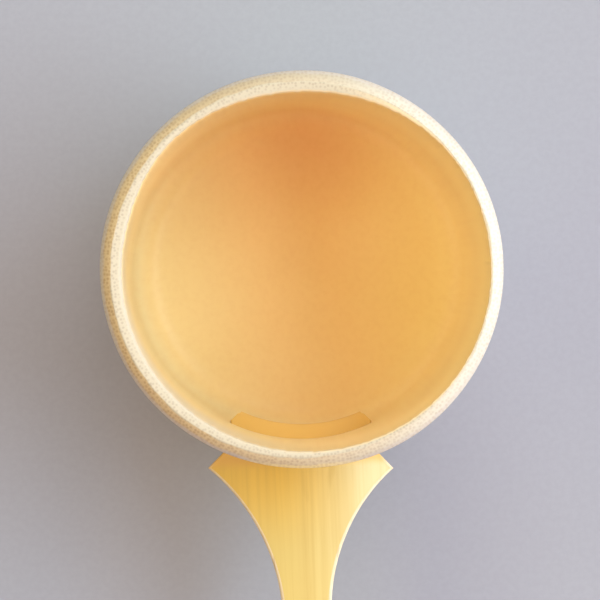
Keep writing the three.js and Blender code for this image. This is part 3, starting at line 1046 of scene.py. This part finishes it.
def inside_finish(colours, cup):
    """Scraped inside: a pale wall with faint upright streaks over a warmer floor with soft mottling."""
    finish = Finish("cup_inside")
    mouth = cup.mouth / 2
    corner = cup.floor_thickness + cup.floor_dish
    _, _, height = finish.parts(finish.place)
    met = finish.span(height, WALL_MET.times(cup.corner_height).moved(corner))
    risen = finish.span(height, WALL_RISEN.times(cup.corner_height).moved(corner))
    lit = light_side_share(finish, mouth)
    worn_reach = towards_side(finish, LEFT_FRONT_SIDE)
    streaks, streak_share = finish.grain(STREAKS, finish.place)
    mottle, mottle_share = finish.grain(MOTTLE, finish.place)
    share = finish.plus(streak_share, mottle_share)
    # Floor, with painted light tints from the side away from the lights to the side towards them
    node = finish.mix(share, colours.node, colours.node_deep)
    shaded = finish.mix(finish.span(lit, NODE_SHADE), colours.floor_painted_tint_shade_side, colours.floor_painted_tint_middle)
    node = finish.tint(1.0, node, finish.mix(finish.span(lit, NODE_LIT_SIDE), shaded, colours.floor_painted_tint_lit_side))
    # Wall and its foot, with a painted light tint on the left front side
    light_tint_share = finish.span(worn_reach, WALL_PAINTED_TINT_REACH.times(mouth))
    wall = finish.mix(share, colours.wall, colours.wall_deep)
    wall = finish.tint(light_tint_share, wall, colours.wall_painted_light_tint)
    foot = finish.mix(share, colours.wall_foot, colours.wall_deep)
    foot = finish.tint(light_tint_share, foot, colours.wall_painted_light_tint)
    scraped = finish.mix(risen, finish.mix(met, node, foot), wall)
    # Painted light below the mouth, on the left front side and on the side towards the lights
    near_mouth = finish.span(height, LIP.moved(cup.height))
    worn = finish.times(near_mouth, finish.span(worn_reach, LEFT_FRONT_REACH.times(mouth)))
    scraped = finish.mix(worn, scraped, colours.left_lip_painted_light)
    painted_lit_side = finish.times(near_mouth, finish.span(lit, LIP_LIT_SIDE))
    scraped = finish.mix(painted_lit_side, scraped, colours.right_lip_painted_light)
    # Painted shade at the back of the floor
    back_shade_share = finish.span(finish.measure("DISTANCE", finish.place, BACK_SHADE_MIDDLE), BACK_SHADE_REACH)
    return finish.surface(INSIDE_SURFACE, finish.tint(back_shade_share, scraped, colours.back_floor_painted_shade), mottle, streaks)


def skin_finish(colours, cup):
    """Outer skin: satin, with fine upright lines and a darker scar below the node."""
    finish = Finish("cup_skin")
    lines, line_share = finish.grain(SKIN_LINES, finish.place)
    bands, band_share = finish.grain(SKIN_BANDS, finish.place)
    # Painted shade away from the lights, painted light towards them
    painted_lit_side = finish.mix(light_side_share(finish, cup.mouth / 2), colours.skin, colours.skin_painted_light)
    body = finish.mix(finish.plus(line_share, band_share), painted_lit_side, colours.skin_dark)
    _, _, height = finish.parts(finish.place)
    away = finish.math("ABSOLUTE", finish.minus(height, cup.node_height - cup.scar_drop))
    scar = finish.span(away, SCAR.times(cup.scar_band))
    return finish.surface(SKIN_SURFACE, finish.mix(scar, body, colours.flesh_dark), bands, lines)


def strip_place(finish, form):
    """Coordinates of the handle: side, distance along and height over its skin's crown."""
    origin = (0.0, -form.wall_outside, form.joint_height)
    return finish.turned(finish.place, origin, (-form.sizes.rise, 0.0, form.sizes.drift))


def with_shaded_tongue(finish, away, colours, body):
    """The tongue's colour inside the cup, and another one outside its wall."""
    return finish.mix(finish.span(away, OUTSIDE), colours.tongue, body)


def strip_skin_finish(colours, form):
    """Skin of the handle: satin yellow with fibre lines along it."""
    finish = Finish("handle_skin")
    place = strip_place(finish, form)
    across, away, _ = finish.parts(place)
    lines, line_share = finish.grain(STRIP_LINES, place, LENGTHWISE)
    bands, band_share = finish.grain(STRIP_BANDS, place, LENGTHWISE)
    _, fleck_share = finish.grain(STRIP_FLECKS, place, LENGTHWISE)
    share = finish.plus(finish.plus(line_share, band_share), fleck_share)
    # Right side: painted light
    lit = finish.span(across, STRIP_LIT_SIDE.times(form.shoulder_half))
    # Head: painted shade near the cup
    head = finish.mix(finish.span(away, HEAD), colours.strip_head_painted_shade, colours.strip)
    body = finish.mix(share, finish.mix(lit, head, colours.strip_painted_light), colours.strip_dark)
    return finish.surface(STRIP_SURFACE, with_shaded_tongue(finish, away, colours, body), bands, lines)


def strip_cut_finish(colours, form):
    """Split sides and underside of the handle: matt, with brown fibre dashes along it."""
    finish = Finish("handle_cut")
    place = strip_place(finish, form)
    _, away, _ = finish.parts(place)
    fibres, fibre_share = finish.grain(SPLIT_FIBRES, place, LENGTHWISE)
    _, dash_share = finish.grain(SPLIT_DASHES, place, LENGTHWISE)
    split = finish.mix(finish.plus(fibre_share, dash_share), colours.flesh, colours.flesh_dark)
    return finish.surface(SPLIT_SURFACE, with_shaded_tongue(finish, away, colours, split), fibres, fibres)


def strip_end_finish(colours, form):
    """Cut ends of the handle: end grain dots all over the cut."""
    finish = Finish("handle_end")
    across, away, up = finish.parts(strip_place(finish, form))
    flat = finish.add("ShaderNodeCombineXYZ", {}, {0: across, 1: up})
    dots = finish.dots(END_BUNDLES, flat)
    grain = finish.mix(dots, colours.rim_fibre, colours.bundle)
    return finish.surface(END_SURFACE, with_shaded_tongue(finish, away, colours, grain), dots, dots)


def floor_finish(colours):
    """Plain pale floor with the faintest paper grain."""
    finish = Finish("floor")
    grain, grain_share = finish.grain(FLOOR_GRAIN, finish.place)
    _, cloud_share = finish.grain(FLOOR_CLOUD, finish.place)
    pale = tuple(colours.floor)
    deep = tuple(FLOOR_DEEP * part for part in pale)
    finish.set(Base_Color=finish.mix(finish.plus(grain_share, cloud_share), pale, deep))
    finish.set(Normal=finish.relief(grain, FLOOR_STRENGTH, FLOOR_DEPTH))
    finish.set(Roughness=FLOOR_ROUGHNESS, Specular_IOR_Level=FLOOR_SHINE)
    return finish.material


def forms(scene):
    cup = CupForm(scene.ladle_cup)
    return cup, StripForm(scene.ladle_handle, scene.ladle_joint, cup)


class LADLE_OT_build_cup(Operator):
    """Builds the cup with its slot and its finishes, in place of the plain solid"""

    bl_idname = "ladle.build_cup"
    bl_label = "Build cup"

    def execute(self, context):
        scene = context.scene
        colours = scene.ladle_colours
        cup, strip = forms(scene)
        points, faces, finishes = cup_mesh(cup)
        materials = [
            skin_finish(colours, scene.ladle_cup),
            rim_finish(colours, scene.ladle_cup),
            inside_finish(colours, scene.ladle_cup),
            strip_cut_finish(colours, strip),
        ]
        piece = mesh_object("bamboo_cup", points, faces, finishes, materials)
        tool_points, tool_faces = slot_tool(strip)
        tool = mesh_object("slot_tool", tool_points, tool_faces, [CUP_SLOT] * len(tool_faces), materials)
        cut(piece, tool)
        shade(piece, CUP_CREASE)
        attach(piece, "root")
        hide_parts("cup")
        return {"FINISHED"}


class LADLE_OT_build_handle(Operator):
    """Builds the handle with its tongue and its finishes, in place of the plain solid"""

    bl_idname = "ladle.build_handle"
    bl_label = "Build handle"

    def execute(self, context):
        scene = context.scene
        colours = scene.ladle_colours
        _, strip = forms(scene)
        points, faces, finishes = strip_mesh(strip, strip_rings(strip))
        materials = [
            strip_skin_finish(colours, strip),
            strip_cut_finish(colours, strip),
            strip_end_finish(colours, strip),
        ]
        piece = mesh_object("bamboo_handle", points, faces, finishes, materials)
        shade(piece, STRIP_CREASE)
        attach(piece, "root")
        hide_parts("handle")
        return {"FINISHED"}


def soft_light(name, settings, target, distance):
    """One flat light that faces the ladle."""
    level = math.cos(settings.elevation)
    away = Vector(
        (
            level * math.cos(settings.azimuth),
            level * math.sin(settings.azimuth),
            math.sin(settings.elevation),
        )
    )
    data = bpy.data.lights.new(name, "AREA")
    data.shape = "RECTANGLE"
    data.size = 2 * distance * math.tan(settings.width / 2)
    data.size_y = 2 * distance * math.tan(settings.height / 2)
    data.energy = settings.power
    data.color = settings.tint
    lamp = bpy.data.objects.new(name, data)
    lamp.location = Vector(target) + distance * away
    lamp.rotation_euler = away.to_track_quat("Z", "Y").to_euler()
    lamp.visible_camera = False
    bpy.context.scene.collection.objects.link(lamp)


class LADLE_OT_build_stage(Operator):
    """Lays the floor, sets the lights and the camera"""

    bl_idname = "ladle.build_stage"
    bl_label = "Build stage"

    def execute(self, context):
        scene = context.scene
        stage = scene.ladle_stage
        cup = scene.ladle_cup
        half = stage.floor_size / 2
        corners = np.array([[-half, -half, 0.0], [half, -half, 0.0], [half, half, 0.0], [-half, half, 0.0]])
        floor = mesh_object("floor", corners, [(0, 1, 2, 3)], None, [floor_finish(scene.ladle_colours)])
        target = (0.0, 0.0, cup.height / 2)
        for name in LIGHTS:
            soft_light(name, getattr(scene, name), target, stage.light_distance)
        world = bpy.data.worlds.new("even_light")
        world.use_nodes = True
        background = world.node_tree.nodes["Background"]
        background.inputs["Color"].default_value = (*stage.world_tint, 1.0)
        background.inputs["Strength"].default_value = stage.world_strength
        scene.world = world
        data = bpy.data.cameras.new("camera")
        data.angle = 2 * math.atan(stage.view_width / 2 / stage.camera_distance)
        data.shift_x = (stage.middle_right - stage.camera_right) / stage.view_width
        data.shift_y = (stage.middle_back - stage.camera_back) / stage.view_width
        camera = bpy.data.objects.new("camera", data)
        camera.location = (stage.camera_right, stage.camera_back, cup.height + stage.camera_distance)
        scene.collection.objects.link(camera)
        scene.camera = camera
        scene.view_settings.view_transform = "Standard"
        return {"FINISHED"}


class VIEW3D_PT_ladle(Panel):
    """Sizes, colours and the steps that build the ladle"""

    bl_label = "Bamboo tea ladle"
    bl_space_type = "VIEW_3D"
    bl_region_type = "UI"
    bl_category = "Ladle"

    def draw(self, context):
        layout = self.layout
        for name in SETTINGS:
            group = getattr(context.scene, name)
            box = layout.box()
            for key in group.bl_rna.properties.keys():
                if key not in {"rna_type", "name"}:
                    box.prop(group, key)
        for operator in STEPS:
            layout.operator(operator.bl_idname)


SETTINGS = {
    "ladle_cup": CupSizes,
    "ladle_joint": JointSizes,
    "ladle_handle": HandleSizes,
    "ladle_colours": BambooColours,
    "ladle_stage": StageSizes,
    **LIGHTS,
}
STEPS = (LADLE_OT_build_stage, LADLE_OT_build_cup, LADLE_OT_build_handle)
CLASSES = (*SETTINGS.values(), *STEPS, VIEW3D_PT_ladle)


def register():
    for made in CLASSES:
        bpy.utils.register_class(made)
    for name, group in SETTINGS.items():
        setattr(bpy.types.Scene, name, PointerProperty(type=group))


def unregister():
    for name in SETTINGS:
        delattr(bpy.types.Scene, name)
    for made in reversed(CLASSES):
        bpy.utils.unregister_class(made)


def main():
    register()
    bpy.ops.ladle.build_stage()
    bpy.ops.ladle.build_cup()
    bpy.ops.ladle.build_handle()


if __name__ == "__main__":
    main()
